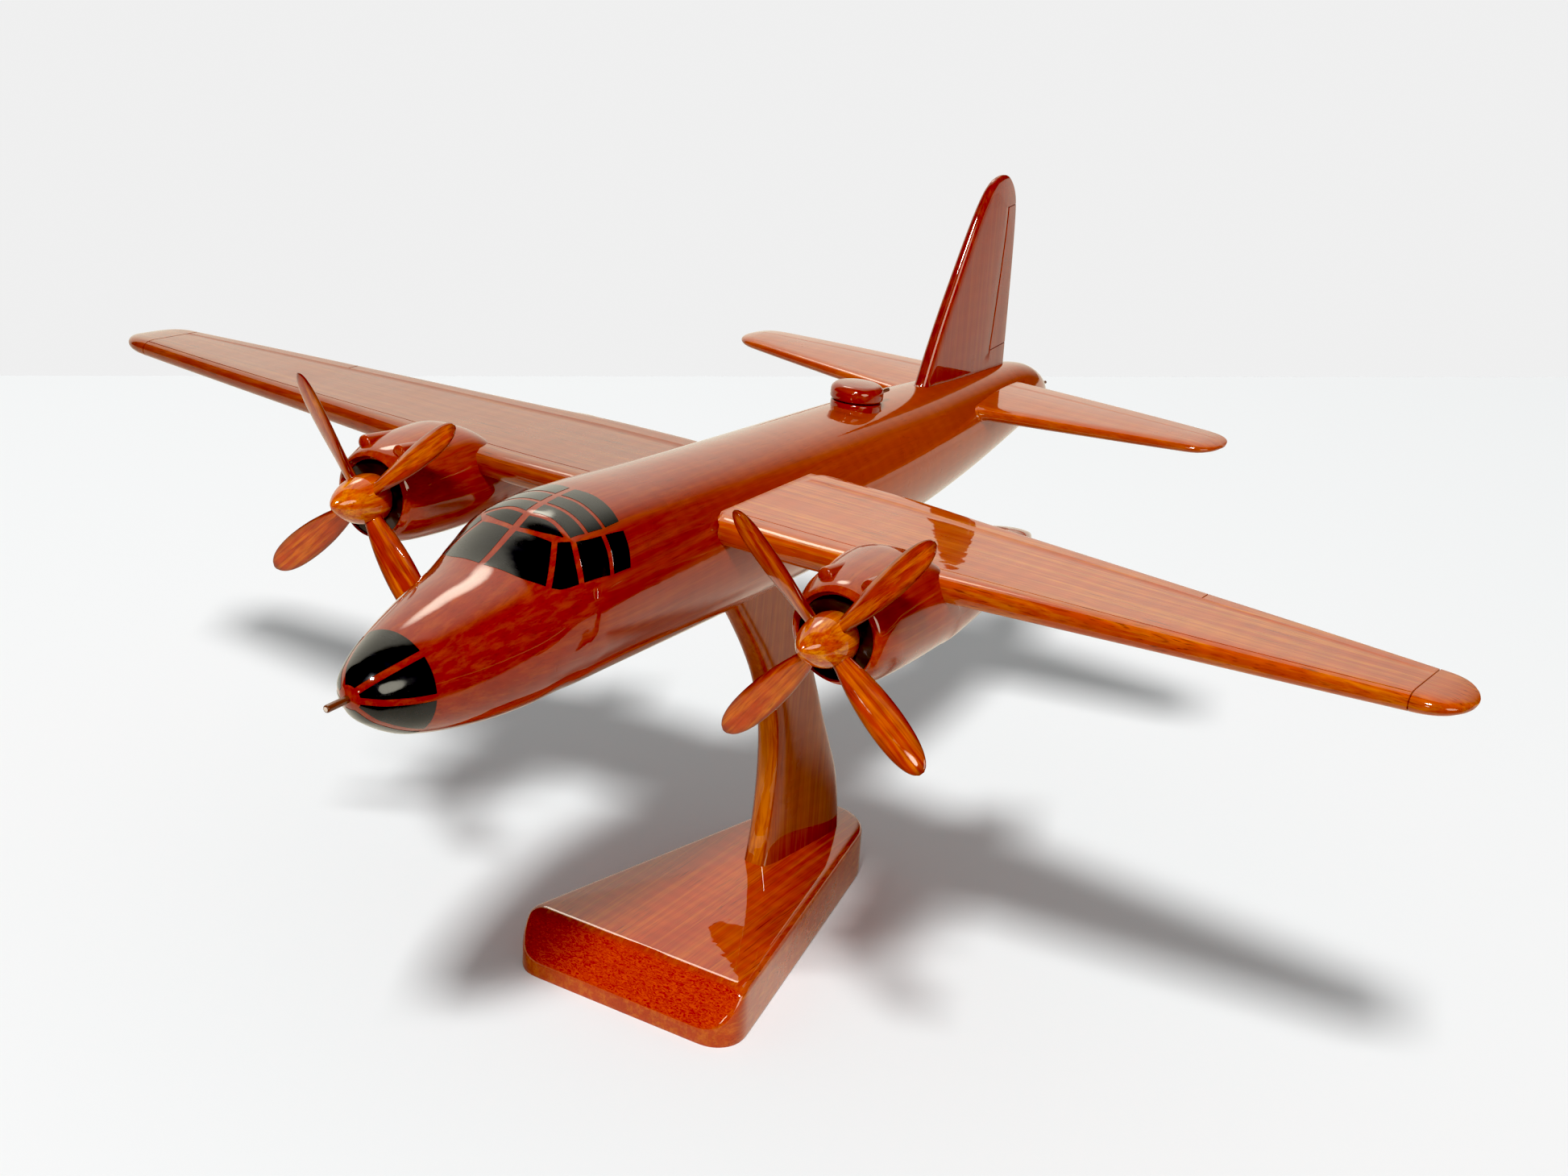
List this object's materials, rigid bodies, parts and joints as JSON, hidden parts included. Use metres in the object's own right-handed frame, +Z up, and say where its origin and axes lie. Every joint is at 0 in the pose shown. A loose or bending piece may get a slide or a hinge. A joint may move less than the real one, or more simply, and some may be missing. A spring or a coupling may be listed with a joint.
{
  "type": "carved wooden aircraft desk model",
  "caption": "Carved hardwood desk model of a piston-engined aircraft with spinning propellers and a turning dorsal turret, resting on a curved column and a tapered base.",
  "frame": {"origin": "centre of the base plate's underside, on the table", "axes": "+Z up, the aircraft's nose points toward -Y, the port wing toward +X"},
  "size_m": [0.45, 0.374, 0.2204],
  "materials": {
    "base_wood": "gloss lacquer over red-brown mahogany",
    "column_wood": "gloss lacquer over amber-brown mahogany",
    "body_wood": "gloss lacquer over deep red mahogany",
    "wing_wood": "gloss lacquer over red-brown mahogany",
    "propeller_wood": "gloss lacquer over orange mahogany",
    "gun_rod_wood": "gloss lacquer over brown wood rod",
    "dowel_wood": "bare pale dowel",
    "screw_steel": "zinc-plated",
    "pin_steel": "bright drawn steel"
  },
  "bodies": {
    "stand": {"base_plate": "base_wood", "stand_column": "column_wood", "column_screws": "screw_steel", "support_pegs": "dowel_wood"},
    "airframe": {"fuselage": "body_wood", "port_wing": "wing_wood", "starboard_wing": "wing_wood", "wing_dowels": "dowel_wood", "port_nacelle": "body_wood", "starboard_nacelle": "body_wood", "port_intakes": "body_wood", "starboard_intakes": "body_wood", "fin": "body_wood", "fin_dowels": "dowel_wood", "port_tailplane": "wing_wood", "starboard_tailplane": "wing_wood", "tailplane_dowels": "dowel_wood", "turret_ring": "body_wood", "nose_gun": "gun_rod_wood", "tail_guns": "gun_rod_wood"},
    "port_propeller": {"port_spinner": "propeller_wood", "port_blade_1": "propeller_wood", "port_blade_2": "propeller_wood", "port_blade_3": "propeller_wood", "port_blade_4": "propeller_wood", "port_pin": "pin_steel"},
    "starboard_propeller": {"starboard_spinner": "propeller_wood", "starboard_blade_1": "propeller_wood", "starboard_blade_2": "propeller_wood", "starboard_blade_3": "propeller_wood", "starboard_blade_4": "propeller_wood", "starboard_pin": "pin_steel"},
    "turret": {"turret_dome": "body_wood", "turret_guns": "gun_rod_wood", "turret_peg": "dowel_wood"}
  },
  "joints": [
    {"name": "aircraft_lift_off", "type": "slide", "parent": "stand", "child": "airframe", "axis": [0, 0, 1], "range_m": [0, 0.03]},
    {"name": "port_propeller_spin", "type": "hinge", "parent": "airframe", "child": "port_propeller", "pos_m": [0.077, -0.1054, 0.1513], "axis": [0, 0.9912, -0.1323], "continuous": true},
    {"name": "starboard_propeller_spin", "type": "hinge", "parent": "airframe", "child": "starboard_propeller", "pos_m": [-0.077, -0.1054, 0.1513], "axis": [0, 0.9912, -0.1323], "continuous": true},
    {"name": "turret_turn", "type": "hinge", "parent": "airframe", "child": "turret", "pos_m": [0, 0.049, 0.1608], "axis": [0, 0.0767, 0.9971], "continuous": true}
  ]
}
